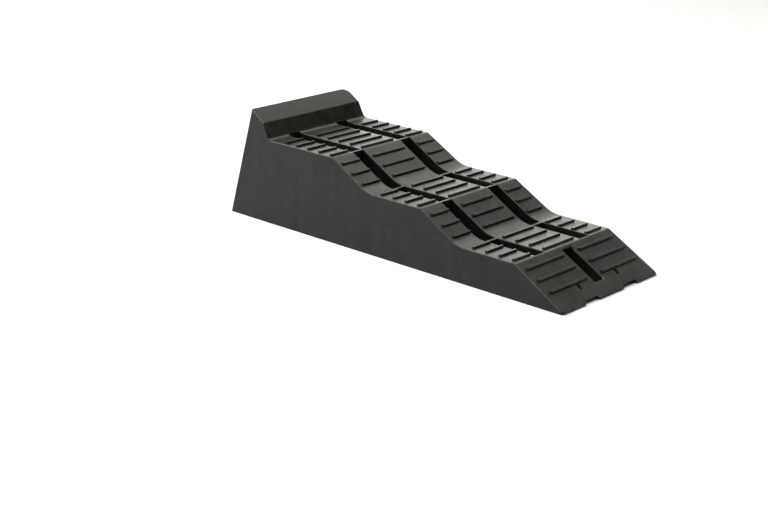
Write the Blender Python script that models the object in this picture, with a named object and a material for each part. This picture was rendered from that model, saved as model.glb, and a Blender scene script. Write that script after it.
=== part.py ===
"""Ramp leveler: a three-level wheel ramp for a caravan or camper, moulded in black polyethylene.

The real ramp is one hollow moulding, open underneath.  It is built here as the walls, deck panels
and ribs that it is made of, each a solid of its own, with a hairline gap wherever two of them meet.

+Z is up, +X points from the tall rear wall to the low nose and Y runs across.  The origin is on the
ground, under the middle of the footprint.  A "run" is a distance from the nose's front edge towards
the rear, and an outline is a list of (run, height) points.  All lengths are in metres.
"""
import math

import bmesh
import bpy
from mathutils import Matrix, Vector

# Overall size
LENGTH = 0.560
WIDTH = 0.200                         # at the ground
SIDE_DRAFT = 0.049                    # how far each side leans inward, per unit of height
WALL = 0.004                          # thickness of the walls and of the deck
RIB = 0.0036                          # thickness of the ribs that run along the ramp
GAP = 0.0003                          # hairline left between neighbouring solids

# The deck's profile: an entry slope, three platforms with steps between, and the wheel stop
LEVELS = (0.044, 0.078, 0.112)
ENTRY_RUN = 0.074
PLATFORM_RUNS = (0.088, 0.0905, 0.118)
STEP_RUN = 0.0605
NOSE_LIP = 0.0026                     # height of the nose's front edge
STOP_FACE = (0.0105, 0.021)           # run and rise of the wheel stop's steep face
STOP_TOP = (0.024, 0.016)             # run and rise of the slanted top behind it
VALLEY_RADIUS = 0.045
VALLEY_SEGMENTS = 5

# Drainage slots: two long ones beside the middle, and one in the entry slope
SLOT_WIDTH = 0.020
SLOT_CENTRE = 0.0463                  # from the ramp's centre line
ENTRY_SLOT = (0.0190, 0.070)          # first and last run
ENTRY_SLOT_WIDTH = 0.019

# Tread bars, raised across the deck in rows to grip a tyre
BAR_PITCH = 0.0203                    # along the surface
BAR_LENGTH = 0.0038
BAR_HEIGHT = 0.0025
BAR_ROOT = 0.0012                     # how far a bar reaches down into the deck
FIRST_BARS = (0.0065, 0.0075, 0.0065)             # from each crest back to its platform's first bar
FIRST_BARS_ON_SLOPES = (0.0147, 0.0164, 0.0164)   # from each crest down its slope to the first bar
CENTRE_BAR_REACH = 0.0305             # centre bars reach this far to each side
SIDE_BARS = (0.0575, 0.0898)          # side bars lie between these distances from the centre
ENTRY_BARS = (0.0155, 0.0898)

# Cross ribs: their tops bridge the slots at every crest and valley, and the last one carries the
# wheel stop's steep face
RIB_RUNS = (0.0720, 0.1470, 0.2220, 0.2995, 0.3735, 0.4915)
RIB_NAMES = ("crest_1_rib", "valley_1_rib", "crest_2_rib", "valley_2_rib", "crest_3_rib",
             "stop_rib")

# Rear wall with its hand recess, nose notches and nose slits
CORNER_RADII = {1: 0.012, -1: 0.003}  # upright rear corners: the left one is broad, the right crisp
RECESS_HEIGHT = 0.0695
RECESS_HALF_WIDTH = 0.0573            # at the ground
RECESS_TOP_HALF_WIDTH = 0.0546
RECESS_CORNER_RADIUS = 0.009
NOSE_RADIUS = 0.004
NOTCH = (0.006, 0.028, 0.0045)        # length, width and height of a notch under the nose's edge
NOTCH_CENTRE = 0.040
SLIT = (0.0076, 0.004)                # length and width
SLIT_PLACE = (0.0213, 0.039)          # run and distance from the centre line

ENTRY_RISE = LEVELS[0] - NOSE_LIP
STEP_RISE = LEVELS[1] - LEVELS[0]
PLATFORM_STARTS = tuple(
    ENTRY_RUN + sum(PLATFORM_RUNS[:level]) + level * STEP_RUN for level in range(3))
PLATFORM_ENDS = tuple(start + run for start, run in zip(PLATFORM_STARTS, PLATFORM_RUNS))
STOP_START = PLATFORM_ENDS[2]
STOP_EDGE = (STOP_START + STOP_FACE[0], LEVELS[2] + STOP_FACE[1])
REAR_TOP = (STOP_EDGE[0] + STOP_TOP[0], STOP_EDGE[1] + STOP_TOP[1])
REAR_LEAN = (LENGTH - REAR_TOP[0]) / REAR_TOP[1]
STOP_TOP_SLOPE = STOP_TOP[1] / STOP_TOP[0]
STOP_FACE_SLOPE = STOP_FACE[1] / STOP_FACE[0]

PARTS = None
CUTTERS = None
MOUNT = None
MATERIALS = {}


# ---------------------------------------------------------------- profile

def x_at(run):
    """The world X of a run."""
    return LENGTH / 2 - run


def rounded_corner(before, corner, after, radius, segments):
    """The arc that rounds off one corner of a path in a plane."""
    before, corner, after = Vector(before), Vector(corner), Vector(after)
    to_before = (before - corner).normalized()
    to_after = (after - corner).normalized()
    half_angle = to_before.angle(to_after) / 2
    start = corner + to_before * (radius / math.tan(half_angle))
    centre = corner + (to_before + to_after).normalized() * (radius / math.sin(half_angle))
    turn = math.pi - 2 * half_angle
    if to_before.cross(to_after) > 0:
        turn = -turn
    spoke = start - centre
    return [tuple(centre + Matrix.Rotation(turn * step / segments, 2) @ spoke)
            for step in range(segments + 1)]


def deck_profile():
    """The deck's top line from the nose to the rear wall's top edge, its valleys rounded."""
    corners = [(0.0, NOSE_LIP)]
    for start, end, height in zip(PLATFORM_STARTS, PLATFORM_ENDS, LEVELS):
        corners += [(start, height), (end, height)]
    corners += [STOP_EDGE, REAR_TOP]
    valleys = (2, 4)
    line = []
    for index, corner in enumerate(corners):
        if index in valleys:
            line += rounded_corner(corners[index - 1], corner, corners[index + 1],
                                   VALLEY_RADIUS, VALLEY_SEGMENTS)
        else:
            line.append(corner)
    return line


DECK = deck_profile()


def deck_height(run):
    """The deck's height at a run."""
    for (run_a, height_a), (run_b, height_b) in zip(DECK, DECK[1:]):
        if run_a <= run <= run_b:
            return height_a + (height_b - height_a) * (run - run_a) / (run_b - run_a)
    raise ValueError("the deck doesn't reach this run")


def deck_stretch(start, end, drop=0.0):
    """The deck's line between two runs, lowered by drop."""
    inner = [(run, height) for run, height in DECK if start < run < end]
    whole = [(start, deck_height(start))] + inner + [(end, deck_height(end))]
    return [(run, height - drop) for run, height in whole]


# ---------------------------------------------------------------- shared building blocks

def clear_scene():
    for old in list(bpy.data.objects):
        bpy.data.objects.remove(old, do_unlink=True)


def new_collection(name):
    collection = bpy.data.collections.new(name)
    bpy.context.scene.collection.children.link(collection)
    return collection


def moulded_plastic(name, colour, roughness):
    material = bpy.data.materials.new(name)
    material.use_nodes = True
    shader = material.node_tree.nodes["Principled BSDF"]
    shader.inputs["Base Color"].default_value = (*colour, 1.0)
    shader.inputs["Roughness"].default_value = roughness
    shader.inputs["Metallic"].default_value = 0.0
    MATERIALS[name] = material


def flat_solid(name, points, thickness, placing):
    """A flat outline with thickness, as a mesh object placed by a matrix."""
    curve = bpy.data.curves.new(name, 'CURVE')
    curve.dimensions = '2D'
    curve.fill_mode = 'BOTH'
    curve.extrude = thickness / 2
    spline = curve.splines.new('POLY')
    spline.points.add(len(points) - 1)
    for point, (across, up) in zip(spline.points, points):
        point.co = (across, up, 0.0, 1.0)
    spline.use_cyclic_u = True
    sketch = bpy.data.objects.new(name, curve)
    PARTS.objects.link(sketch)
    sketch.matrix_world = placing
    graph = bpy.context.evaluated_depsgraph_get()
    mesh = bpy.data.meshes.new_from_object(sketch.evaluated_get(graph))
    mesh.name = name
    shape = bmesh.new()
    shape.from_mesh(mesh)
    bmesh.ops.remove_doubles(shape, verts=shape.verts, dist=0.00001)
    bmesh.ops.recalc_face_normals(shape, faces=shape.faces)
    shape.to_mesh(mesh)
    shape.free()
    bpy.data.objects.remove(sketch, do_unlink=True)
    bpy.data.curves.remove(curve)
    solid = bpy.data.objects.new(name, mesh)
    solid.matrix_world = placing
    return solid


def prism(name, outline, low, high):
    """A (run, height) outline carried across the ramp from y = low to y = high."""
    first_run = outline[0][0]
    points = [(first_run - run, height) for run, height in outline]
    placing = (Matrix.Translation((x_at(first_run), (low + high) / 2, 0.0))
               @ Matrix.Rotation(math.pi / 2, 4, 'X'))
    return flat_solid(name, points, high - low, placing)


def inner_face(height):
    """Distance from the centre line to a side wall's inner face, at a height."""
    return WIDTH / 2 - WALL - SIDE_DRAFT * height


def fit_to_side_walls(solid, clear_left=0.0):
    """Slant the ends of a solid so that they follow the side walls' inner faces.

    The left end can stay further from its wall than the hairline gap."""
    place = solid.matrix_world.copy()
    back = place.inverted()
    near_an_end = inner_face(REAR_TOP[1]) - 0.005
    for vertex in solid.data.vertices:
        point = place @ vertex.co
        if abs(point.y) > near_an_end:
            clear = clear_left if point.y > 0 else 0.0
            point.y = math.copysign(inner_face(point.z) - clear - GAP, point.y)
            vertex.co = back @ point


def round_off(solid, radius, is_corner):
    """Round the one upright edge whose two ends pass a test of their world positions."""
    place = solid.matrix_world
    shape = bmesh.new()
    shape.from_mesh(solid.data)
    edges = [edge for edge in shape.edges if all(is_corner(place @ end.co) for end in edge.verts)]
    bmesh.ops.bevel(shape, geom=edges, offset=radius, segments=4, profile=0.5, affect='EDGES')
    shape.to_mesh(solid.data)
    shape.free()


def finish(solid, material):
    """Put a solid into the ramp, in its material, under the ramp's empty."""
    PARTS.objects.link(solid)
    solid.data.materials.clear()
    solid.data.materials.append(MATERIALS[material])
    place = solid.matrix_world.copy()
    solid.parent = MOUNT
    solid.matrix_world = place


def combine(solid, tool, operation):
    """Let another solid shape this one with a Boolean, and keep that other one out of the model."""
    CUTTERS.objects.link(tool)
    tool.hide_render = True
    tool.display_type = 'WIRE'
    boolean = solid.modifiers.new(tool.name, 'BOOLEAN')
    boolean.operation = operation
    boolean.object = tool


def upright_block(centre, size, slope):
    """The placing of a block with upright ends, whose top and bottom rise towards the rear."""
    shear = Matrix.Identity(4)
    shear[2][0] = -slope
    return Matrix.Translation(centre) @ shear @ Matrix.Diagonal((*size, 1.0))


def tilted_block(centre, size, slope):
    """The placing of a block that stands square on a surface rising towards the rear."""
    tilt = Matrix.Rotation(math.atan(slope), 4, 'Y')
    return Matrix.Translation(centre) @ tilt @ Matrix.Diagonal((*size, 1.0))


def block_group(name, placings):
    """Separate blocks in one object, to be joined to a solid or cut out of it."""
    shape = bmesh.new()
    for placing in placings:
        bmesh.ops.create_cube(shape, size=1.0, matrix=placing)
    mesh = bpy.data.meshes.new(name)
    shape.to_mesh(mesh)
    shape.free()
    return bpy.data.objects.new(name, mesh)


# ---------------------------------------------------------------- tread bars

def platform_bars(level):
    """Runs of the middles of the bars on a platform, from its crest to the rear."""
    count = (4, 4, 5)[level]
    first = PLATFORM_STARTS[level] + FIRST_BARS[level] + BAR_LENGTH / 2
    return [first + row * BAR_PITCH for row in range(count)]


def slope_bars(level, slope):
    """Runs of the middles of the three bars on a slope, from its crest down to the front."""
    shrink = math.cos(math.atan(slope))
    first = FIRST_BARS_ON_SLOPES[level] - BAR_LENGTH / 2
    return [PLATFORM_STARTS[level] - (first + row * BAR_PITCH) * shrink for row in range(3)]


def bar_blocks(middles, slope, spans):
    """Bars at these runs, one for each (low, high) span across the ramp, standing on the deck."""
    lean = math.atan(slope)
    rise = (BAR_HEIGHT - BAR_ROOT) / 2
    placings = []
    for middle in middles:
        x = x_at(middle) + rise * math.sin(lean)
        z = deck_height(middle) + rise * math.cos(lean)
        for low, high in spans:
            size = (BAR_LENGTH, high - low, BAR_HEIGHT + BAR_ROOT)
            placings.append(tilted_block((x, (low + high) / 2, z), size, slope))
    return placings


# ---------------------------------------------------------------- deck

def deck_panel(name, start, end, low, high, middles, slope, span):
    """One strip of deck between two cross ribs, with its row of tread bars."""
    top = deck_stretch(start, end)
    outline = top + list(reversed(deck_stretch(start, end, drop=WALL)))
    panel = prism(name, outline, low, high)
    fit_to_side_walls(panel)
    combine(panel, block_group(name + "_bars", bar_blocks(middles, slope, [span])), 'UNION')
    finish(panel, "tread_plastic")


def deck_row(name, start, end, middles, slope):
    """The three strips of deck, left, centre and right, that the two slots leave between them."""
    slot_inner = SLOT_CENTRE - SLOT_WIDTH / 2
    slot_outer = SLOT_CENTRE + SLOT_WIDTH / 2
    wall = inner_face(0.0)
    near, far = SIDE_BARS
    reach = CENTRE_BAR_REACH
    deck_panel(name + "_left", start, end, slot_outer, wall, middles, slope, (near, far))
    deck_panel(name + "_centre", start, end, -slot_inner, slot_inner, middles, slope,
               (-reach, reach))
    deck_panel(name + "_right", start, end, -wall, -slot_outer, middles, slope, (-far, -near))


def build_deck():
    """Platforms and steps, each between the cross ribs at its two ends."""
    step_slope = STEP_RISE / STEP_RUN
    spans = [(front + WALL + GAP, back - GAP) for front, back in zip(RIB_RUNS, RIB_RUNS[1:])]
    deck_row("platform_1", *spans[0], platform_bars(0), 0.0)
    deck_row("step_2", *spans[1], slope_bars(1, step_slope), step_slope)
    deck_row("platform_2", *spans[2], platform_bars(1), 0.0)
    deck_row("step_3", *spans[3], slope_bars(2, step_slope), step_slope)
    deck_row("platform_3", *spans[4], platform_bars(2), 0.0)


def build_entry_slope():
    """The entry slope, with its slot, bars, two slits and two notches under the nose's edge."""
    slope = ENTRY_RISE / ENTRY_RUN
    end = RIB_RUNS[0] - GAP
    wedge = (WALL - NOSE_LIP) / slope
    outline = [(0.0, 0.0)] + deck_stretch(0.0, end)
    outline += [(end, deck_height(end) - WALL), (wedge, 0.0)]
    panel = prism("entry_slope", outline, -inner_face(0.0), inner_face(0.0))
    fit_to_side_walls(panel)
    near, far = ENTRY_BARS
    bars = bar_blocks(slope_bars(0, slope), slope, [(near, far), (-far, -near)])
    combine(panel, block_group("entry_bars", bars), 'UNION')
    through = 3 * WALL
    slot_middle = sum(ENTRY_SLOT) / 2
    slot_length = ENTRY_SLOT[1] - ENTRY_SLOT[0]
    openings = [upright_block((x_at(slot_middle), 0.0, deck_height(slot_middle)),
                              (slot_length, ENTRY_SLOT_WIDTH, through), slope)]
    for side in (-1, 1):
        run, across = SLIT_PLACE
        place = (x_at(run), side * across, deck_height(run))
        openings.append(upright_block(place, (*SLIT, through), slope))
        openings.append(upright_block((x_at(0.0), side * NOTCH_CENTRE, 0.0),
                                      (2 * NOTCH[0], NOTCH[1], 2 * NOTCH[2]), 0.0))
    combine(panel, block_group("entry_openings", openings), 'DIFFERENCE')
    finish(panel, "tread_plastic")


def build_stop():
    """The wheel stop's steep face and its slanted top."""
    wall = inner_face(0.0)
    under_top = 1.4 * WALL
    foot = STOP_START + GAP
    face_top = LEVELS[2] + STOP_FACE[1] - under_top
    front = [(foot, LEVELS[2] + GAP), (STOP_EDGE[0] - under_top / STOP_FACE_SLOPE, face_top)]
    rise = (STOP_TOP_SLOPE * WALL) / (1 - STOP_TOP_SLOPE / STOP_FACE_SLOPE)
    back = [(front[1][0] + WALL + rise / STOP_FACE_SLOPE, face_top + rise),
            (foot + WALL, LEVELS[2] + GAP)]
    face = prism("stop_face", front + back, -wall, wall)
    fit_to_side_walls(face)
    finish(face, "tread_plastic")

    lip_run = STOP_EDGE[0] - (under_top - 2 * GAP) / STOP_FACE_SLOPE
    lip_height = STOP_EDGE[1] - (under_top - 2 * GAP)
    rear_run = REAR_TOP[0] - WALL - 2 * GAP
    rear_height = STOP_EDGE[1] + (rear_run - STOP_EDGE[0]) * STOP_TOP_SLOPE
    rear_under = lip_height + (rear_run - lip_run) * STOP_TOP_SLOPE
    outline = [(lip_run, lip_height), STOP_EDGE, (rear_run, rear_height), (rear_run, rear_under)]
    top = prism("stop_top", outline, -wall, wall)
    fit_to_side_walls(top)
    behind = x_at(rear_run) + GAP
    round_off(top, CORNER_RADII[1] - WALL + GAP, lambda point: point.x < behind and point.y > 0)
    finish(top, "tread_plastic")


# ---------------------------------------------------------------- walls

def side_wall(name, side):
    """A side wall: it leans in, its top follows the deck, and it turns the rear corner."""
    outer, inner, back = WIDTH / 2, WIDTH / 2 - WALL, LENGTH - WALL
    rear_corner = rounded_corner((0.0, outer), (LENGTH, outer), (LENGTH, 0.0), CORNER_RADII[side], 6)
    nose_corner = rounded_corner((0.0, 0.0), (0.0, outer), (LENGTH, outer), NOSE_RADIUS, 3)
    inside = [(LENGTH, inner), (back, inner)]
    if CORNER_RADII[side] > WALL:
        inside = rounded_corner((back, 0.0), (back, inner), (0.0, inner), CORNER_RADII[side] - WALL, 6)
    plan = [(x_at(run), side * across) for run, across in nose_corner + rear_corner + inside]
    height = REAR_TOP[1] + 0.01
    wall = flat_solid(name, plan, height, Matrix.Translation((0.0, 0.0, height / 2)))
    for vertex in wall.data.vertices:
        raised = vertex.co.z + height / 2
        vertex.co.y -= side * SIDE_DRAFT * raised
        if vertex.co.x < 0.0:
            vertex.co.x += REAR_LEAN * raised
    margin = 0.01
    beyond = 4 * margin
    silhouette = [(-margin, -margin), (-margin, NOSE_LIP)] + DECK
    silhouette += [(REAR_TOP[0] + beyond, REAR_TOP[1] + beyond * STOP_TOP_SLOPE),
                   (LENGTH + beyond, -margin)]
    combine(wall, prism(name + "_silhouette", silhouette, -WIDTH, WIDTH), 'INTERSECT')
    finish(wall, "wall_plastic")


def build_rear_wall():
    """The leaning rear wall, with the opening of the hand recess."""
    inside_top = REAR_TOP[0] - WALL
    outline = [(LENGTH, 0.0), REAR_TOP, (inside_top, REAR_TOP[1] - WALL * STOP_TOP_SLOPE),
               (LENGTH - WALL - REAR_LEAN * WALL * STOP_TOP_SLOPE, 0.0)]
    wall = prism("rear_wall", outline, -WIDTH / 2, WIDTH / 2)
    fit_to_side_walls(wall, clear_left=CORNER_RADII[1] - WALL)
    below = -0.01
    spread = RECESS_HALF_WIDTH + (RECESS_HALF_WIDTH - RECESS_TOP_HALF_WIDTH) * -below / RECESS_HEIGHT
    foot_left, foot_right = (-spread, below), (spread, below)
    top_left = (-RECESS_TOP_HALF_WIDTH, RECESS_HEIGHT)
    top_right = (RECESS_TOP_HALF_WIDTH, RECESS_HEIGHT)
    opening = [foot_left]
    opening += rounded_corner(foot_left, top_left, top_right, RECESS_CORNER_RADIUS, 6)
    opening += rounded_corner(top_left, top_right, foot_right, RECESS_CORNER_RADIUS, 6)
    opening.append(foot_right)
    facing_rear = (Matrix.Translation((x_at(LENGTH), 0.0, 0.0))
                   @ Matrix.Rotation(math.pi / 2, 4, 'Z') @ Matrix.Rotation(math.pi / 2, 4, 'X'))
    combine(wall, flat_solid("hand_recess", opening, 0.1, facing_rear), 'DIFFERENCE')
    finish(wall, "wall_plastic")


# ---------------------------------------------------------------- ribs

def build_cross_ribs():
    """Ribs from side wall to side wall; their tops lie flush in the deck at crests and valleys."""
    for name, front in zip(RIB_NAMES, RIB_RUNS):
        back = front + WALL
        top = deck_stretch(front, back)
        if name == "stop_rib":
            top = [(front, LEVELS[2]), (back, LEVELS[2])]
        outline = [(front, 0.0)] + top + [(back, 0.0)]
        rib = prism(name, outline, -inner_face(0.0), inner_face(0.0))
        fit_to_side_walls(rib)
        finish(rib, "rib_plastic")


def build_long_ribs():
    """Ribs along both edges of the two long slots, one length of rib between two cross ribs."""
    inner_edge = SLOT_CENTRE - SLOT_WIDTH / 2
    outer_edge = SLOT_CENTRE + SLOT_WIDTH / 2
    places = (("left_outer", outer_edge, outer_edge + RIB), ("left_inner", inner_edge - RIB, inner_edge),
              ("right_inner", -inner_edge, RIB - inner_edge), ("right_outer", -outer_edge - RIB, -outer_edge))
    bays = ("platform_1", "step_2", "platform_2", "step_3", "platform_3")
    for bay, front, back in zip(bays, RIB_RUNS, RIB_RUNS[1:]):
        start, end = front + WALL + GAP, back - GAP
        top = deck_stretch(start, end, drop=WALL + GAP)
        for place, low, high in places:
            rib = prism(f"{bay}_rib_{place}", [(start, 0.0)] + top + [(end, 0.0)], low, high)
            finish(rib, "rib_plastic")


def build_entry_ribs():
    """Two ribs under the entry slope, beside its slot."""
    start, end = ENTRY_SLOT[0], RIB_RUNS[0] - GAP
    outline = [(start, 0.0)] + deck_stretch(start, end, drop=WALL + GAP) + [(end, 0.0)]
    edge = ENTRY_SLOT_WIDTH / 2
    for name, low in (("entry_rib_left", edge), ("entry_rib_right", -edge - RIB)):
        finish(prism(name, outline, low, low + RIB), "rib_plastic")


def build_recess_walls():
    """The two side walls of the hand recess, from the stop rib back to the rear wall."""
    front = RIB_RUNS[-1] + WALL + GAP
    height = LEVELS[2] - GAP
    foot = LENGTH - WALL - REAR_LEAN * WALL - 2 * GAP
    outline = [(front, 0.0), (front, height), (foot - REAR_LEAN * height, height), (foot, 0.0)]
    edge = RECESS_HALF_WIDTH
    for name, low in (("recess_wall_left", edge), ("recess_wall_right", -edge - RIB)):
        finish(prism(name, outline, low, low + RIB), "rib_plastic")


def build_ramp():
    global PARTS, CUTTERS, MOUNT
    clear_scene()
    PARTS = new_collection("ramp_leveler")
    CUTTERS = new_collection("cutters")
    MOUNT = bpy.data.objects.new("ramp_leveler", None)
    PARTS.objects.link(MOUNT)
    moulded_plastic("tread_plastic", (0.045, 0.044, 0.042), 0.50)
    moulded_plastic("wall_plastic", (0.032, 0.033, 0.034), 0.42)
    moulded_plastic("rib_plastic", (0.020, 0.021, 0.022), 0.60)
    build_entry_slope()
    build_deck()
    build_stop()
    side_wall("left_side_wall", 1)
    side_wall("right_side_wall", -1)
    build_rear_wall()
    build_cross_ribs()
    build_long_ribs()
    build_entry_ribs()
    build_recess_walls()


build_ramp()
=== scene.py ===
"""Looks for the ramp leveler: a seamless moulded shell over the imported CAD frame, its ribs,
procedural plastics, a plain studio and the camera.

A "run" is a distance from the nose's front edge towards the rear; x = LENGTH / 2 - run.
All lengths are in metres.
"""
import math

import bmesh
import bpy
from mathutils import Matrix, Vector


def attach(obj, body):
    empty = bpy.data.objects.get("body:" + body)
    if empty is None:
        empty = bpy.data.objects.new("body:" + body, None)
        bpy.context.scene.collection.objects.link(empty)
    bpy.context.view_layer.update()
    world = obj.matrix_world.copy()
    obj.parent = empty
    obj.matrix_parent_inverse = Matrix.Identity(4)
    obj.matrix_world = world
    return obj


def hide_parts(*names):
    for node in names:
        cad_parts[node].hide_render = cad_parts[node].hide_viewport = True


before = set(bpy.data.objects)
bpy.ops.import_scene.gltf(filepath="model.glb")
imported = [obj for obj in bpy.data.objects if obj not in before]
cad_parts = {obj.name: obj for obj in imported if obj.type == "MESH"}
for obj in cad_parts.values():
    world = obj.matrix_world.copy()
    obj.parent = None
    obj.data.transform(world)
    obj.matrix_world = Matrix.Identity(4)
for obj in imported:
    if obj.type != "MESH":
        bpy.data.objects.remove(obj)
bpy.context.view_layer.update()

# ---------------------------------------------------------------- dimensions, as in the CAD
LENGTH = 0.560
HALF_WIDTH = 0.100
DRAFT = 0.049                             # how far a side leans in, per unit of height
WALL = 0.004
RIB = 0.0036
LEVELS = (0.044, 0.078, 0.112)
NOSE_LIP = 0.0026
ENTRY_RUN = 0.074
PLATFORM_RUNS = (0.088, 0.0905, 0.118)
STEP_RUN = 0.0605
STOP_EDGE = (0.502, 0.133)                # run and height of the edge between stop face and top
REAR_TOP = (0.526, 0.149)                 # run and height of the highest edge
REAR_LEAN = (LENGTH - REAR_TOP[0]) / REAR_TOP[1]
TOP_SLOPE = (REAR_TOP[1] - STOP_EDGE[1]) / (REAR_TOP[0] - STOP_EDGE[0])
STARTS = tuple(ENTRY_RUN + sum(PLATFORM_RUNS[:n]) + n * STEP_RUN for n in range(3))
ENDS = tuple(start + run for start, run in zip(STARTS, PLATFORM_RUNS))
STEP_SLOPE = (LEVELS[1] - LEVELS[0]) / STEP_RUN
ENTRY_SLOPE = (LEVELS[0] - NOSE_LIP) / ENTRY_RUN

SLOT = (0.0363, 0.0563)                   # the long slots' inner and outer edge
RIB_RUNS = (0.0720, 0.1470, 0.2220, 0.2995, 0.3735, 0.4915)     # each cross rib's front face
ENTRY_SLOT = (0.0190, 0.0700, 0.0095)     # first run, last run and half width
SLIT = (0.0175, 0.0251, 0.0370, 0.0410)   # first run, last run, inner and outer edge
BAR_PITCH = 0.0203
BAR_LENGTH = 0.0038
BAR_HEIGHT = 0.0025
BAR_LEAN = (0.0003, 0.0004)               # how far a bar's faces lean in, along and across
BARS_ON_PLATFORMS = (4, 4, 5)
BARS_ON_SLOPE = 3
FIRST_BARS = (0.0065, 0.0075, 0.0065)     # from each crest back to its platform's first bar
FIRST_BARS_ON_SLOPES = (0.0147, 0.0164, 0.0164)     # from each crest down its slope to a bar
CENTRE_BAR = 0.0305                       # half the length of a bar between the slots
SIDE_BAR = (0.0575, 0.0898)               # inner and outer end of a bar outside the slots
ENTRY_BAR = (0.0155, 0.0898)              # inner and outer end of a bar on the entry slope
CORNER_RADII = {1: 0.012, -1: 0.003}      # of the left and the right upright rear corner
NOSE_RADIUS = 0.004                       # of the nose's corners, seen from above
NOTCH = (0.026, 0.054, 0.0045)            # inner edge, outer edge and height
NOTCH_RUNS = (0.0034, 0.0060)             # its edge in the deck, and how far it reaches in
NOTCH_LIP = 0.0002                        # how far its front edge is below its roof
RECESS = (0.0695, 0.0573, 0.0546, 0.009)  # height, half width at foot and top, corner radius

RIB_OFFSET = 0.0003                       # from the edge of a slot to the rib beside it
RIB_OVERLAP = 0.001                       # how far a long rib reaches into a cross rib
RIB_BITE = 0.0012                         # how far a rib's top reaches into the deck
CROSS_RIB_BITE = 0.0015                   # how far a cross rib's end reaches into a side wall
RECESS_WALL_GAP = 0.0005                  # from the high platform down to the recess's walls

# ---------------------------------------------------------------- rounding and meshing
TREAD, WALLS, INSIDE = 0, 1, 2            # the shell's materials
ROUNDING = 0.0016                         # of the outline's edges, the most that an edge gets
DECK_EDGE_ROUNDING = 0.0007               # between the platforms and steps and a side wall
SLOT_ROUNDING = 0.0007
SLIT_ROUNDING = 0.0003
BAR_ROUNDING = 0.0004
RIB_ROUNDING = 0.0004
ARCH_ROUNDING = 0.0009
ROUNDING_SEGMENTS = 3
ROUNDED_ANGLE = math.radians(40)          # ribs: edges sharper than this are rounded
SHARP_ANGLE = math.radians(38)            # shading breaks at edges sharper than this
FLATNESS = 50                             # how strongly large faces set the shading

ARC_STEPS = 8                             # of each upright rear corner
ARCH_STEPS = 8                            # of each corner of the hand recess
CREST_STEPS, VALLEY_STEPS = 4, 9
VALLEY_RADIUS = 0.02                      # fillets of at least this radius are valleys
LEAST_SPACING = 0.00065                   # between a row of points and a bar's or hole's edge
SAME_RUN = 0.00001                        # rows of points closer than this are one row
ROUND_OFF = 1e-7                          # the error of a vector's single-precision parts
LEAST_INNER_FILLET = 0.0006
LEAST_INNER_CORNER = 0.001
LEAST_INNER_HEIGHT = 0.0004               # the inner skin starts where it is this far up
INNER_SPACING = 0.0004                    # between the inner skin's outermost columns
FREE_COLUMNS = 0.08                       # columns nearer the middle than this never move
NOTCH_REACH = 0.0120                      # rows of points bend round a notch up to here
# More rows of points, for the nose's corners and notches and before the stop's foot
EXTRA_RUNS = [0.0012, 0.0024, NOSE_RADIUS, NOTCH_REACH, 0.4830]
NOTCH_FLANK = 0.0003                      # half the width in which a notch's side goes in
FOOT_LEAD = 0.006                         # a wall's foot spreads from this far before the stop
CREST_MARGIN = 0.002                      # the entry's openings end further than this from it
RIB_TOP_SPACING = 0.003

# ---------------------------------------------------------------- the deck's profile
# Corners of the profile from the nose to the rear top: run, height, radius
CORNERS = [(0.0, -0.01, 0.0), (0.0, NOSE_LIP, 0.0010)]
CORNERS += [(STARTS[0], LEVELS[0], 0.0050), (ENDS[0], LEVELS[0], 0.045)]
CORNERS += [(STARTS[1], LEVELS[1], 0.0050), (ENDS[1], LEVELS[1], 0.045)]
CORNERS += [(STARTS[2], LEVELS[2], 0.0050), (ENDS[2], LEVELS[2], 0.0085)]
CORNERS += [(*STOP_EDGE, 0.0045), (*REAR_TOP, 0.0)]


class Fillet:
    """A corner's arc, and the arc that runs parallel to it on the wall's inner side."""

    def __init__(self, before, corner, after):
        corner_point = Vector(corner[:2])
        to_before = (Vector(before[:2]) - corner_point).normalized()
        to_after = (Vector(after[:2]) - corner_point).normalized()
        half = to_before.angle(to_after) / 2
        middle = (to_before + to_after).normalized()
        self.radius = corner[2]
        self.crest = middle.y < 0
        tangent = self.radius / math.tan(half)
        self.start = corner_point + to_before * tangent
        self.end = corner_point + to_after * tangent
        self.centre = corner_point + middle * (self.radius / math.sin(half))
        self.inner_radius, self.inner_centre = self.radius + WALL, self.centre
        if self.crest:
            self.inner_radius = max(self.radius - WALL, LEAST_INNER_FILLET)
            spread = (WALL + self.inner_radius) / math.sin(half)
            self.inner_centre = corner_point + middle * spread


FILLETS = [Fillet(*CORNERS[n - 1:n + 2]) for n in range(1, len(CORNERS) - 1)]


def surface(run):
    """The deck's outer and inner point at a run, each as (run, height)."""
    for fillet in FILLETS:
        if fillet.start.x - ROUND_OFF <= run <= fillet.end.x + ROUND_OFF:
            along = max(-fillet.radius, min(fillet.radius, run - fillet.centre.x))
            side = 1 if fillet.crest else -1
            spoke = Vector((along, side * math.sqrt(fillet.radius ** 2 - along ** 2)))
            inner = fillet.inner_centre + spoke * (fillet.inner_radius / fillet.radius)
            return fillet.centre + spoke, inner
    for fillet, following in zip(FILLETS, FILLETS[1:]):
        if fillet.end.x < run < following.start.x:
            share = (run - fillet.end.x) / (following.start.x - fillet.end.x)
            point = fillet.end.lerp(following.start, share)
            along = (following.start - fillet.end).normalized()
            return point, point - Vector((-along.y, along.x)) * WALL
    raise ValueError("the deck doesn't reach this run")


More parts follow.
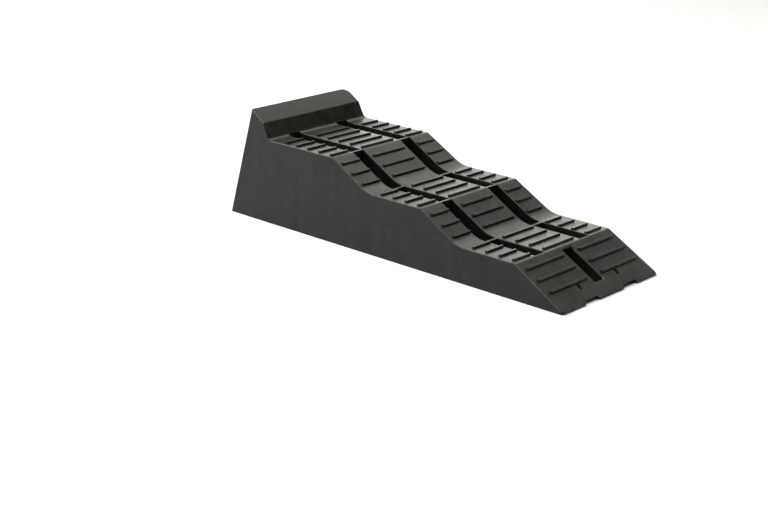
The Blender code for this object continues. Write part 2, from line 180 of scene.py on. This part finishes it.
def bar_rows():
    """(first run, last run, spans across) of every row of raised tread bars."""
    platform_spans = [(-SIDE_BAR[1], -SIDE_BAR[0]), (-CENTRE_BAR, CENTRE_BAR), SIDE_BAR]
    entry_spans = [(-ENTRY_BAR[1], -ENTRY_BAR[0]), ENTRY_BAR]
    rows = []
    for start, lead, count in zip(STARTS, FIRST_BARS, BARS_ON_PLATFORMS):
        for row in range(count):
            first = start + lead + row * BAR_PITCH
            rows.append((first, first + BAR_LENGTH, platform_spans))
    step = (STEP_SLOPE, platform_spans)
    slopes = ((ENTRY_SLOPE, entry_spans), step, step)
    for crest, lead, (slope, spans) in zip(STARTS, FIRST_BARS_ON_SLOPES, slopes):
        shrink = math.cos(math.atan(slope))
        for row in range(BARS_ON_SLOPE):
            first = crest - (lead + row * BAR_PITCH) * shrink
            rows.append((first, first + BAR_LENGTH * shrink, spans))
    return rows


def openings():
    """(first run, last run, low, high) of every hole through the deck."""
    holes = [(ENTRY_SLOT[0], ENTRY_SLOT[1], -ENTRY_SLOT[2], ENTRY_SLOT[2])]
    for side in (-1, 1):
        low, high = sorted((side * SLIT[2], side * SLIT[3]))
        holes.append((SLIT[0], SLIT[1], low, high))
        low, high = sorted((side * SLOT[0], side * SLOT[1]))
        for front, back in zip(RIB_RUNS, RIB_RUNS[1:]):
            holes.append((front + WALL, back, low, high))
    return holes


def deck_stations(rows, holes):
    """Every run at which the deck's grid has a row of points."""
    fixed = sorted({round(run, 7) for row in rows for run in row[:2]}
                   | {round(run, 7) for hole in holes for run in hole[:2]})
    soft = []
    for fillet in FILLETS:
        steps = CREST_STEPS if fillet.radius < VALLEY_RADIUS else VALLEY_STEPS
        first = math.atan2(fillet.start.y - fillet.centre.y, fillet.start.x - fillet.centre.x)
        last = math.atan2(fillet.end.y - fillet.centre.y, fillet.end.x - fillet.centre.x)
        for step in range(steps + 1):
            angle = first + (last - first) * step / steps
            soft.append(fillet.centre.x + fillet.radius * math.cos(angle))
    must = (FILLETS[0].start.x, FILLETS[-1].end.x)
    chosen = fixed + list(must)
    for run in soft + EXTRA_RUNS:
        if (all(abs(run - other) > LEAST_SPACING for other in fixed)
                and all(abs(run - other) > SAME_RUN for other in must)):
            chosen.append(run)
    return sorted(chosen)


# ---------------------------------------------------------------- the shell
def edge_at(run, height, inset):
    """Where the side's face is, at a run and height."""
    half = HALF_WIDTH - inset
    radius = NOSE_RADIUS - inset
    if run < NOSE_RADIUS and radius > 0:
        half += math.sqrt(max(0.0, radius ** 2 - (NOSE_RADIUS - run) ** 2)) - radius
    return half - DRAFT * height


COLUMNS = sorted({side * value for side in (-1, 1) for value in (
    0.0, ENTRY_SLOT[2], ENTRY_BAR[0], NOTCH[0] - NOTCH_FLANK, NOTCH[0] + NOTCH_FLANK, CENTRE_BAR,
    SLOT[0], SLIT[2], SLIT[3], NOTCH[1] - NOTCH_FLANK, NOTCH[1] + NOTCH_FLANK, SLOT[1],
    SIDE_BAR[0], SIDE_BAR[1])})
COLUMNS = [-1.0] + COLUMNS + [1.0]        # the first and last stand for the deck's edges
LAST = len(COLUMNS) - 1


def in_notch(across):
    return NOTCH[0] < abs(across) < NOTCH[1]


class Shell:
    """The ramp's outer and inner skins, built as one closed mesh."""

    def __init__(self):
        self.mesh = bmesh.new()
        self.weight = self.mesh.edges.layers.float.new("bevel_weight_edge")
        self.rows = bar_rows()
        self.holes = openings()
        self.runs = deck_stations(self.rows, self.holes)
        self.points = {}

    def vertex(self, key, run, across, height):
        if key not in self.points:
            self.points[key] = self.mesh.verts.new((LENGTH / 2 - run, across, height))
        return self.points[key]

    def face(self, vertices, material):
        ring = []
        for vertex in vertices:
            if not ring or vertex is not ring[-1]:
                ring.append(vertex)
        if ring[0] is ring[-1]:
            ring.pop()
        made = self.mesh.faces.new(ring)
        made.material_index = material
        return made

    def soften(self, one, other, weight):
        self.mesh.edges.get((one, other))[self.weight] = weight

    # points of the grid -----------------------------------------------------
    def top(self, i, j):
        outer, _ = surface(self.runs[i])
        run, height = outer
        across = COLUMNS[j]
        if j in (0, LAST):
            across = math.copysign(edge_at(run, height, 0.0), across)
        elif in_notch(across) and run < NOTCH_REACH:
            run = NOTCH_RUNS[0] + run * (1 - NOTCH_RUNS[0] / NOTCH_REACH)
            height = NOSE_LIP + ENTRY_SLOPE * run
        return self.vertex(("top", i, j), run, across, height)

    def crown(self, i, j):
        """A point of a bar's top; the bar's faces lean inward up to it."""
        near = {(di, dj): (i + di, j + dj) in self.raised for di in (-1, 0) for dj in (-1, 0)}
        before, after = near[-1, -1] or near[-1, 0], near[0, -1] or near[0, 0]
        low, high = near[-1, -1] or near[0, -1], near[-1, 0] or near[0, 0]
        outer, inner = surface(self.runs[i])
        slant = Vector((outer.y - inner.y, inner.x - outer.x)).normalized()
        out = (outer - inner).normalized()
        point = outer + out * BAR_HEIGHT + slant * BAR_LEAN[0] * (after - before)
        across = COLUMNS[j] + BAR_LEAN[1] * (high - low)
        return self.vertex(("crown", i, j), point.x, across, point.y)

    def under(self, i, j):
        _, (run, height) = surface(self.runs[i])
        if i == self.first_inner:
            run, height = self.inner_start, 0.0
        across = COLUMNS[j]
        if abs(across) >= FREE_COLUMNS:
            columns_from_edge = LAST / 2 - abs(j - LAST / 2)
            limit = edge_at(run, height, WALL) - INNER_SPACING * columns_from_edge
            across = math.copysign(min(abs(across), limit), across)
        if in_notch(across):
            run, height = max(run, NOTCH_RUNS[1]), max(height, NOTCH[2])
        return self.vertex(("under", i, j), run, across, height)

    # surfaces ---------------------------------------------------------------
    def cell(self, i, j):
        """What fills a cell of the deck's grid: land, a bar or a hole."""
        run, across = self.middle(i, j)
        for first, last, low, high in self.holes:
            if first < run < last and low < across < high:
                return "hole"
        return "bar" if self.is_raised(i, j) else "land"

    def is_raised(self, i, j):
        run, across = self.middle(i, j)
        return any(first < run < last and any(low < across < high for low, high in spans)
                   for first, last, spans in self.rows)

    def middle(self, i, j):
        return (self.runs[i] + self.runs[i + 1]) / 2, (COLUMNS[j] + COLUMNS[j + 1]) / 2

    def deck(self):
        count = len(self.runs) - 1
        kinds = {(i, j): self.cell(i, j) for i in range(count) for j in range(LAST)}
        self.raised = {cell for cell in kinds if self.is_raised(*cell)}
        level = {"land": self.top, "bar": self.crown}
        for (i, j), kind in kinds.items():
            if kind == "hole":
                continue
            place, under = level[kind], self.under
            self.face((place(i, j), place(i, j + 1), place(i + 1, j + 1), place(i + 1, j)), TREAD)
            if i >= self.first_inner:
                self.face((under(i, j), under(i + 1, j), under(i + 1, j + 1), under(i, j + 1)),
                          INSIDE)
        soft_edges = []
        for (i, j), kind in kinds.items():
            far = (i + 1, j + 1)
            for neighbour, other in (((i, j + 1), far), ((i + 1, j), far)):
                one = neighbour
                beyond = kinds.get(neighbour)
                if beyond is None or beyond == kind:
                    continue
                if {kind, beyond} == {"land", "bar"}:
                    upper, lower = self.crown, self.top
                    material = TREAD if neighbour[1] == j else INSIDE
                else:
                    solid = beyond if kind == "hole" else kind
                    upper, lower, material = level[solid], self.under, INSIDE
                self.face((upper(*one), upper(*other), lower(*other), lower(*one)), material)
                soft_edges.append((upper(*one), upper(*other), self.rim(i, j, lower == self.top)))
        for one, other, weight in soft_edges:
            self.soften(one, other, weight)

    def rim(self, i, j, of_bar):
        """The rounding of an edge of a bar or a hole, as a share of the full one.

        The entry slot's ends and left edge get the full one.
        """
        if of_bar:
            return BAR_ROUNDING / ROUNDING
        if self.runs[i] < STARTS[0] - CREST_MARGIN:
            return 1.0 if abs(COLUMNS[j]) < ENTRY_BAR[0] else SLIT_ROUNDING / ROUNDING
        return SLOT_ROUNDING / ROUNDING

    def edge_rounding(self, run):
        """The rounding of the deck's edge along a side wall, as a share of the full one."""
        return DECK_EDGE_ROUNDING / ROUNDING if STARTS[0] < run < ENDS[2] else 1.0

    def sides(self):
        """Side walls, rear corners, and the chain of edges round the deck."""
        self.foot, self.inner_foot, self.tops, self.inner_tops = {}, {}, {}, {}
        last = len(self.runs) - 1
        for side, j in ((-1, 0), (1, LAST)):
            radius = CORNER_RADII[side]
            tops = [self.top(i, j) for i in range(last + 1)]
            inner = [self.under(i, j) for i in range(self.first_inner, last + 1)]
            feet, inner_feet = [], []
            spread_from = ENDS[2] - FOOT_LEAD
            arc_start = self.arc_top(side, 0.0, False)[0]
            reach = (LENGTH - radius - spread_from) / (arc_start - spread_from)
            for i, run in enumerate(self.runs):
                foot = run if run < spread_from else spread_from + (run - spread_from) * reach
                across = side * edge_at(foot, 0.0, 0.0)
                feet.append(self.vertex(("foot", side, i), foot, across, 0.0))
                if i > self.first_inner:
                    inner_feet.append(self.vertex(("inner foot", side, i), foot,
                                                  side * (HALF_WIDTH - WALL), 0.0))
            inner_feet.insert(0, inner[0])
            for step in range(ARC_STEPS + 1):
                turn = math.pi / 2 * step / ARC_STEPS
                tops.append(self.arc_vertex("arc top", side, turn, False, True))
                feet.append(self.arc_vertex("arc foot", side, turn, False, False))
                inner.append(self.arc_vertex("inner arc top", side, turn, True, True))
                inner_feet.append(self.arc_vertex("inner arc foot", side, turn, True, False))
            for n in range(len(tops) - 1):
                self.face((tops[n], tops[n + 1], feet[n + 1], feet[n]), WALLS)
            for n in range(len(inner) - 1):
                self.face((inner[n], inner[n + 1], inner_feet[n + 1], inner_feet[n]), INSIDE)
            skipped = self.first_inner
            self.face(feet[:skipped + 2] + [inner_feet[1], inner_feet[0]], INSIDE)
            for n in range(1, len(inner_feet) - 1):
                self.face((feet[n + skipped], feet[n + skipped + 1], inner_feet[n + 1],
                           inner_feet[n]), INSIDE)
            self.tops[side], self.foot[side] = tops, feet
            self.inner_tops[side], self.inner_foot[side] = inner, inner_feet

    def arc_top(self, side, turn, inside):
        """Run, across and height of the top of a rear corner, at one turn round its arc."""
        inset = WALL if inside else 0.0
        radius = max(CORNER_RADII[side] - inset, LEAST_INNER_CORNER)
        base = LENGTH - inset - radius + radius * math.sin(turn)
        across = HALF_WIDTH - inset - radius + radius * math.cos(turn)
        drop = WALL * math.sqrt(1 + TOP_SLOPE ** 2) if inside else 0.0
        height = STOP_EDGE[1] - drop + TOP_SLOPE * (base - STOP_EDGE[0])
        height /= 1 + TOP_SLOPE * REAR_LEAN
        return base - REAR_LEAN * height, side * (across - DRAFT * height), height

    def arc_vertex(self, kind, side, turn, inside, upper):
        run, across, height = self.arc_top(side, turn, inside)
        if not upper:
            run, across, height = run + REAR_LEAN * height, across + side * DRAFT * height, 0.0
        return self.vertex((kind, side, round(turn, 6)), run, across, height)

    def nose(self):
        """The front face under the nose's edge, with its notches."""
        front = []
        for j, across in enumerate(COLUMNS):
            if j in (0, LAST):
                front.append(self.foot[1 if j else -1][0])
            elif in_notch(across):
                front.append(self.vertex(("front", j), NOTCH_RUNS[0], across,
                                         NOTCH[2] - NOTCH_LIP))
            else:
                front.append(self.vertex(("front", j), 0.0, across, 0.0))
        first = self.first_inner
        for j in range(LAST):
            self.face((self.top(0, j + 1), self.top(0, j), front[j], front[j + 1]), WALLS)
            self.face((front[j + 1], front[j], self.under(first, j), self.under(first, j + 1)),
                      INSIDE)

    def rear(self):
        """The stop's slanted top and the rear wall with its recess, each one flat face."""
        last = len(self.runs) - 1
        arcs = ARC_STEPS + 1
        front = [self.top(last, j) for j in range(LAST + 1)]
        self.face(front + self.tops[1][-arcs:] + self.tops[-1][-arcs:][::-1], TREAD)
        front = [self.under(last, j) for j in range(LAST + 1)]
        self.face(front + self.inner_tops[1][-arcs:] + self.inner_tops[-1][-arcs:][::-1],
                  INSIDE)
        arch, inner_arch = self.arch(False), self.arch(True)
        self.face([self.tops[1][-1], self.tops[-1][-1], self.foot[-1][-1]] + arch
                  + [self.foot[1][-1]], WALLS)
        self.face([self.inner_tops[1][-1], self.inner_tops[-1][-1], self.inner_foot[-1][-1]]
                  + inner_arch + [self.inner_foot[1][-1]], INSIDE)
        for n in range(len(arch) - 1):
            self.face((arch[n + 1], arch[n], inner_arch[n], inner_arch[n + 1]), WALLS)
            self.soften(arch[n], arch[n + 1], ARCH_ROUNDING / ROUNDING)
        self.face((self.foot[-1][-1], self.inner_foot[-1][-1], inner_arch[0], arch[0]), INSIDE)
        self.face((arch[-1], inner_arch[-1], self.inner_foot[1][-1], self.foot[1][-1]), INSIDE)

    def arch(self, inside):
        """The recess's outline in the rear wall, from its right foot over to its left foot."""
        height, foot, top, radius = RECESS
        flank = Vector((foot - top, -height)).normalized()
        half = Vector((-1.0, 0.0)).angle(flank) / 2
        tangent = radius / math.tan(half)
        middle = (Vector((-1.0, 0.0)) + flank).normalized()
        centre = Vector((top, height)) + middle * (radius / math.sin(half))
        spoke = Vector((top, height)) + flank * tangent - centre
        outline = [(foot, 0.0)]
        for step in range(ARCH_STEPS + 1):
            point = centre + Matrix.Rotation((math.pi - 2 * half) * step / ARCH_STEPS, 2) @ spoke
            outline.append(tuple(point))
        outline = [(-across, up) for across, up in outline] + outline[::-1]
        back = LENGTH - (WALL if inside else 0.0)
        return [self.vertex(("arch", inside, n), back - REAR_LEAN * up, across, up)
                for n, (across, up) in enumerate(outline)]

    def build(self):
        self.inner_start = (WALL * math.sqrt(1 + ENTRY_SLOPE ** 2) - NOSE_LIP) / ENTRY_SLOPE
        self.first_inner = next(
            i for i, run in enumerate(self.runs)
            if surface(run)[1].y > LEAST_INNER_HEIGHT and run > self.inner_start) - 1
        self.deck()
        self.sides()
        self.nose()
        self.rear()
        for side in (-1, 1):
            chain = self.tops[side]
            for one, other in zip(chain, chain[1:]):
                middle = LENGTH / 2 - (one.co.x + other.co.x) / 2
                self.soften(one, other, self.edge_rounding(middle))
            near, far = (0, 1) if side < 0 else (LAST, LAST - 1)
            self.soften(self.top(0, near), self.top(0, far), 1.0)
        self.soften(self.tops[1][-1], self.tops[-1][-1], 1.0)
        bmesh.ops.recalc_face_normals(self.mesh, faces=self.mesh.faces)
        return self.mesh


# ---------------------------------------------------------------- materials
EVENLY = (1, 1, 1)
DUST = (0.085, 0.081, 0.069, 1.0)
GRAIN_DEPTH = 0.00012
COLOUR_A, COLOUR_B, MIXED_COLOUR = 6, 7, 2     # a colour mix node's sockets


def noise(nodes, links, coordinates, stretch, scale, detail, roughness):
    """A noise texture in object space, stretched by a factor along each axis."""
    mapping = nodes.new("ShaderNodeMapping")
    mapping.inputs["Scale"].default_value = stretch
    links.new(coordinates.outputs["Object"], mapping.inputs["Vector"])
    texture = nodes.new("ShaderNodeTexNoise")
    texture.inputs["Scale"].default_value = scale
    texture.inputs["Detail"].default_value = detail
    texture.inputs["Roughness"].default_value = roughness
    links.new(mapping.outputs["Vector"], texture.inputs["Vector"])
    return texture.outputs["Fac"]


def spread(nodes, links, value, from_low, from_high, to_low, to_high):
    """Map a value from one range to another, clamped."""
    node = nodes.new("ShaderNodeMapRange")
    node.inputs["From Min"].default_value = from_low
    node.inputs["From Max"].default_value = from_high
    node.inputs["To Min"].default_value = to_low
    node.inputs["To Max"].default_value = to_high
    links.new(value, node.inputs["Value"])
    return node.outputs["Result"]


def plastic(name, dark, light, gloss, streak, grain, specular, scuffs):
    """Black polyethylene: mottled, with flow streaks in its gloss and a fine grain."""
    material = bpy.data.materials.new(name)
    material.use_nodes = True
    nodes, links = material.node_tree.nodes, material.node_tree.links
    shader = nodes["Principled BSDF"]
    coordinates = nodes.new("ShaderNodeTexCoord")
    cloud = noise(nodes, links, coordinates, EVENLY, scale=22.0, detail=5.0, roughness=0.6)
    streaks = noise(nodes, links, coordinates, streak, scale=60.0, detail=3.0, roughness=0.5)
    fine = noise(nodes, links, coordinates, EVENLY, scale=2600.0, detail=2.0, roughness=0.5)
    speckle = noise(nodes, links, coordinates, EVENLY, scale=420.0, detail=3.0, roughness=0.6)

    blend = nodes.new("ShaderNodeMath")
    blend.operation = 'MULTIPLY_ADD'
    links.new(streaks, blend.inputs[0])
    blend.inputs[1].default_value = 0.5
    half_cloud = nodes.new("ShaderNodeMath")
    half_cloud.operation = 'MULTIPLY'
    half_cloud.inputs[1].default_value = 0.5
    links.new(cloud, half_cloud.inputs[0])
    links.new(half_cloud.outputs[0], blend.inputs[2])
    mottle = spread(nodes, links, blend.outputs[0], 0.36, 0.64, 0.0, 1.0)

    colour = nodes.new("ShaderNodeValToRGB")
    colour.color_ramp.elements[0].color = (*dark, 1.0)
    colour.color_ramp.elements[1].color = (*light, 1.0)
    links.new(mottle, colour.inputs["Fac"])
    dusty = nodes.new("ShaderNodeMix")
    dusty.data_type = 'RGBA'
    dust = noise(nodes, links, coordinates, (0.6, 1.0, 1.0), scale=120.0, detail=6.0,
                 roughness=0.68)
    links.new(spread(nodes, links, dust, 0.54, 0.74, 0.0, scuffs), dusty.inputs["Factor"])
    links.new(colour.outputs["Color"], dusty.inputs[COLOUR_A])
    dusty.inputs[COLOUR_B].default_value = DUST
    links.new(dusty.outputs[MIXED_COLOUR], shader.inputs["Base Color"])

    rough = nodes.new("ShaderNodeMath")
    rough.operation = 'ADD'
    links.new(spread(nodes, links, mottle, 0.0, 1.0, gloss[0], gloss[1]), rough.inputs[0])
    links.new(spread(nodes, links, speckle, 0.35, 0.65, -0.03, 0.03), rough.inputs[1])
    links.new(rough.outputs[0], shader.inputs["Roughness"])

    relief = nodes.new("ShaderNodeMath")
    relief.operation = 'MULTIPLY_ADD'
    links.new(speckle, relief.inputs[0])
    relief.inputs[1].default_value = 0.8
    links.new(fine, relief.inputs[2])
    bump = nodes.new("ShaderNodeBump")
    bump.inputs["Strength"].default_value = grain
    bump.inputs["Distance"].default_value = GRAIN_DEPTH
    links.new(relief.outputs[0], bump.inputs["Height"])
    links.new(bump.outputs["Normal"], shader.inputs["Normal"])
    shader.inputs["Specular IOR Level"].default_value = specular
    shader.inputs["IOR"].default_value = 1.5
    return material


# The tread's base colours are painted light: the walls' black plastic made lighter and warmer,
# standing for the warm light on the upward faces. Its dust is real dirt.
painted_lit_tread_plastic = plastic(
    "dusty_tread_plastic_painted_lit", dark=(0.0114, 0.0106, 0.0080), light=(0.0228, 0.0212, 0.0155),
    gloss=(0.24, 0.38), streak=(0.15, 1.0, 1.0), grain=0.35, specular=0.45, scuffs=0.32)
# The walls' base colours are painted shade: the same plastic toned darker and cooler than the
# tread, for the upright sides' weaker light.
painted_shade_wall_plastic = plastic(
    "wall_plastic_painted_shade", dark=(0.008, 0.0083, 0.0082), light=(0.0135, 0.0139, 0.0134),
    gloss=(0.30, 0.46), streak=(1.0, 1.0, 0.06), grain=0.35, specular=0.20, scuffs=0.12)
# The inside's base colours are painted shade: the same plastic made darkest for the shade inside
# the slots, under the deck and on the ribs. It is also rougher and less specular.
painted_shade_inside_plastic = plastic(
    "matte_inner_plastic_painted_shade", dark=(0.0045, 0.0048, 0.0053), light=(0.008, 0.0085, 0.0092),
    gloss=(0.46, 0.58), streak=(1.0, 1.0, 0.12), grain=0.35, specular=0.2, scuffs=0.06)


# ---------------------------------------------------------------- pieces
def add_piece(name, mesh, materials, replaced, rounding):
    """Link a mesh as a piece of the ramp, in place of the CAD nodes that it stands for."""
    piece = bpy.data.objects.new(name, mesh)
    bpy.context.scene.collection.objects.link(piece)
    for material in materials:
        mesh.materials.append(material)
    mesh.shade_smooth()
    bevel = piece.modifiers.new("rounded_edges", 'BEVEL')
    bevel.width, bevel.segments = rounding, ROUNDING_SEGMENTS
    bevel.use_clamp_overlap = False
    # Rounded edges take the first material: on the shell, the tread plastic with its stronger
    # specular for the lamps' highlights and its painted lighter tone; on a rib, the inside
    # plastic.
    bevel.material = 0
    if mesh.attributes.get("bevel_weight_edge"):
        bevel.limit_method = 'WEIGHT'
    else:
        bevel.limit_method, bevel.angle_limit = 'ANGLE', ROUNDED_ANGLE
    mesh.set_sharp_from_angle(angle=SHARP_ANGLE)
    flat = piece.modifiers.new("flat_faces_stay_flat", 'WEIGHTED_NORMAL')
    flat.mode, flat.weight, flat.keep_sharp = 'FACE_AREA', FLATNESS, True
    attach(piece, "root")
    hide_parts(*replaced)


def rib(name, node, outline, low, high, drafted=False):
    """A rib: a side outline made thick across the ramp, or from wall to wall."""
    shape = bmesh.new()
    rings = []
    for side, across in ((-1, low), (1, high)):
        ring = []
        for run, height in outline:
            place = side * (high - DRAFT * height) if drafted else across
            ring.append(shape.verts.new((LENGTH / 2 - run, place, height)))
        shape.faces.new(ring)
        rings.append(ring)
    for n in range(len(outline)):
        after = (n + 1) % len(outline)
        shape.faces.new((rings[0][n], rings[0][after], rings[1][after], rings[1][n]))
    bmesh.ops.recalc_face_normals(shape, faces=shape.faces)
    mesh = bpy.data.meshes.new(name)
    shape.to_mesh(mesh)
    shape.free()
    add_piece(name, mesh, [painted_shade_inside_plastic], [node], RIB_ROUNDING)


def under_deck(start, end):
    """Points along the deck's inner side between two runs, a little way into its thickness."""
    count = max(2, round((end - start) / RIB_TOP_SPACING))
    points = []
    for n in range(count + 1):
        outer, _ = surface(start + (end - start) * n / count)
        points.append((outer.x, outer.y - WALL + RIB_BITE))
    return points


SHELL_NODES = ["entry_slope", "stop_face", "stop_top",
               "left_side_wall", "right_side_wall", "rear_wall"]
BAYS = ("platform_1", "step_2", "platform_2", "step_3", "platform_3")
for bay in BAYS:
    SHELL_NODES += [f"{bay}_{place}" for place in ("left", "centre", "right")]

shell_mesh = bpy.data.meshes.new("ramp_shell")
shell_shape = Shell().build()
shell_shape.to_mesh(shell_mesh)
shell_shape.free()
add_piece("ramp_shell", shell_mesh, [painted_lit_tread_plastic, painted_shade_wall_plastic, painted_shade_inside_plastic],
          SHELL_NODES, ROUNDING)

CROSS_RIBS = ("crest_1_rib", "valley_1_rib", "crest_2_rib", "valley_2_rib", "crest_3_rib",
              "stop_rib")
for node, front in zip(CROSS_RIBS, RIB_RUNS):
    outline = [(front, 0.0)] + under_deck(front, front + WALL) + [(front + WALL, 0.0)]
    rib("moulded_" + node, node, outline, 0.0, HALF_WIDTH - WALL + CROSS_RIB_BITE, drafted=True)

for bay, front, back in zip(BAYS, RIB_RUNS, RIB_RUNS[1:]):
    start, end = front + WALL - RIB_OVERLAP, back + RIB_OVERLAP
    outline = [(start, 0.0)] + under_deck(start, end) + [(end, 0.0)]
    for place, low in (("left_outer", SLOT[1] + RIB_OFFSET),
                       ("left_inner", SLOT[0] - RIB - RIB_OFFSET),
                       ("right_inner", RIB_OFFSET - SLOT[0]),
                       ("right_outer", -SLOT[1] - RIB - RIB_OFFSET)):
        rib(f"moulded_{bay}_rib_{place}", f"{bay}_rib_{place}", outline, low, low + RIB)

start, end = ENTRY_SLOT[0], RIB_RUNS[0] + RIB_OVERLAP
outline = [(start, 0.0)] + under_deck(start, end) + [(end, 0.0)]
for place, low in (("left", ENTRY_SLOT[2] + RIB_OFFSET),
                   ("right", -ENTRY_SLOT[2] - RIB - RIB_OFFSET)):
    rib(f"moulded_entry_rib_{place}", f"entry_rib_{place}", outline, low, low + RIB)

start, height = RIB_RUNS[-1] + WALL - RIB_OVERLAP, LEVELS[2] - RECESS_WALL_GAP
foot = LENGTH - WALL / 2
outline = [(start, 0.0), (start, height), (foot - REAR_LEAN * height, height), (foot, 0.0)]
for place, low in (("left", RECESS[1]), ("right", -RECESS[1] - RIB)):
    rib(f"moulded_recess_wall_{place}", f"recess_wall_{place}", outline, low, low + RIB)


# ---------------------------------------------------------------- studio
FLOOR_HALF_SIZE = 14.0
FLOOR_DROP = 0.0003                       # keeps the floor clear of the ramp's lower edges
FLOOR_COLOUR = (0.935, 0.95, 0.975, 1.0)


def floor_material():
    material = bpy.data.materials.new("studio_floor")
    material.use_nodes = True
    shader = material.node_tree.nodes["Principled BSDF"]
    shader.inputs["Base Color"].default_value = FLOOR_COLOUR
    shader.inputs["Roughness"].default_value = 0.9
    shader.inputs["Specular IOR Level"].default_value = 0.1
    return material


floor_mesh = bpy.data.meshes.new("studio_floor")
floor_shape = bmesh.new()
bmesh.ops.create_grid(floor_shape, x_segments=1, y_segments=1, size=FLOOR_HALF_SIZE)
floor_shape.to_mesh(floor_mesh)
floor_shape.free()
floor_mesh.materials.append(floor_material())
studio_floor = bpy.data.objects.new("studio_floor", floor_mesh)
studio_floor.location = (0.0, 0.0, -FLOOR_DROP)
bpy.context.scene.collection.objects.link(studio_floor)


def softbox(name, place, aim, width, height, power, colour):
    light = bpy.data.lights.new(name, 'AREA')
    light.shape, light.size, light.size_y = 'RECTANGLE', width, height
    light.energy, light.color = power, colour
    lamp = bpy.data.objects.new(name, light)
    bpy.context.scene.collection.objects.link(lamp)
    lamp.location = place
    direction = Vector(aim) - Vector(place)
    lamp.rotation_mode = 'QUATERNION'
    lamp.rotation_quaternion = direction.to_track_quat('-Z', 'Y')


WARM = (1.0, 0.96, 0.90)
WORLD_COLOUR = (1.0, 0.975, 0.92, 1.0)
DIM_SIDE = 0.10                           # the world's strength away from the sweep
softbox("overhead_softbox", (0.05, -1.2, 3.0), (0.0, 0.0, 0.0), 1.0, 1.0, 56.0, WARM)
softbox("side_softbox", (-2.0, -0.5, 1.9), (0.0, 0.0, 0.1), 1.2, 1.0, 52.0, WARM)
softbox("rear_softbox", (-1.05, 2.1, 2.2), (-0.25, 0.0, 0.1), 1.5, 1.1, 8.0, WARM)


def studio_world():
    """A white sweep round the rear and left, brightest low down, and a dim front."""
    world = bpy.data.worlds.new("studio")
    world.use_nodes = True
    nodes, links = world.node_tree.nodes, world.node_tree.links
    background = nodes["Background"]
    place = nodes.new("ShaderNodeTexCoord")
    axes = nodes.new("ShaderNodeSeparateXYZ")
    links.new(place.outputs["Generated"], axes.inputs[0])

    def ramp(axis, start, end, low, high):
        node = nodes.new("ShaderNodeMapRange")
        node.interpolation_type = 'SMOOTHSTEP'
        names = ("From Min", "From Max", "To Min", "To Max")
        for name, value in zip(names, (start, end, low, high)):
            node.inputs[name].default_value = value
        links.new(axes.outputs[axis], node.inputs["Value"])
        return node.outputs["Result"]

    sweep = nodes.new("ShaderNodeMath")
    sweep.operation = 'MULTIPLY'
    links.new(ramp("X", -0.35, 0.45, 1.0, 0.0), sweep.inputs[0])
    links.new(ramp("Z", 0.28, 0.46, 2.5, 0.55), sweep.inputs[1])
    lifted = nodes.new("ShaderNodeMath")
    lifted.operation = 'ADD'
    lifted.inputs[1].default_value = DIM_SIDE
    links.new(sweep.outputs[0], lifted.inputs[0])
    background.inputs["Color"].default_value = WORLD_COLOUR
    links.new(lifted.outputs[0], background.inputs["Strength"])
    return world


bpy.context.scene.world = studio_world()
bpy.context.scene.view_settings.view_transform = 'Standard'

# ---------------------------------------------------------------- camera
CAMERA_PLACE = (1.2237, -1.4808, 0.640)
SENSOR_WIDTH, FOCAL_LENGTH = 36.0, 72.46875     # in millimetres
SHIFT = (0.0034, 0.0065)
FORWARD_ACROSS = Vector((-0.6636, 0.7482, 0.0)).normalized()
PITCH = math.radians(19.15)
ROLL = math.radians(-1.38)
forward = FORWARD_ACROSS * math.cos(PITCH) - Vector((0.0, 0.0, math.sin(PITCH)))
right = forward.cross(Vector((0.0, 0.0, 1.0))).normalized()
up = right.cross(forward)
camera_right = right * math.cos(ROLL) - up * math.sin(ROLL)
camera_up = right * math.sin(ROLL) + up * math.cos(ROLL)
lens = bpy.data.cameras.new("camera")
lens.sensor_width, lens.lens = SENSOR_WIDTH, FOCAL_LENGTH
lens.shift_x, lens.shift_y = SHIFT
camera = bpy.data.objects.new("camera", lens)
bpy.context.scene.collection.objects.link(camera)
turn = Matrix((camera_right, camera_up, -forward)).transposed().to_4x4()
camera.matrix_world = Matrix.Translation(CAMERA_PLACE) @ turn
bpy.context.scene.camera = camera
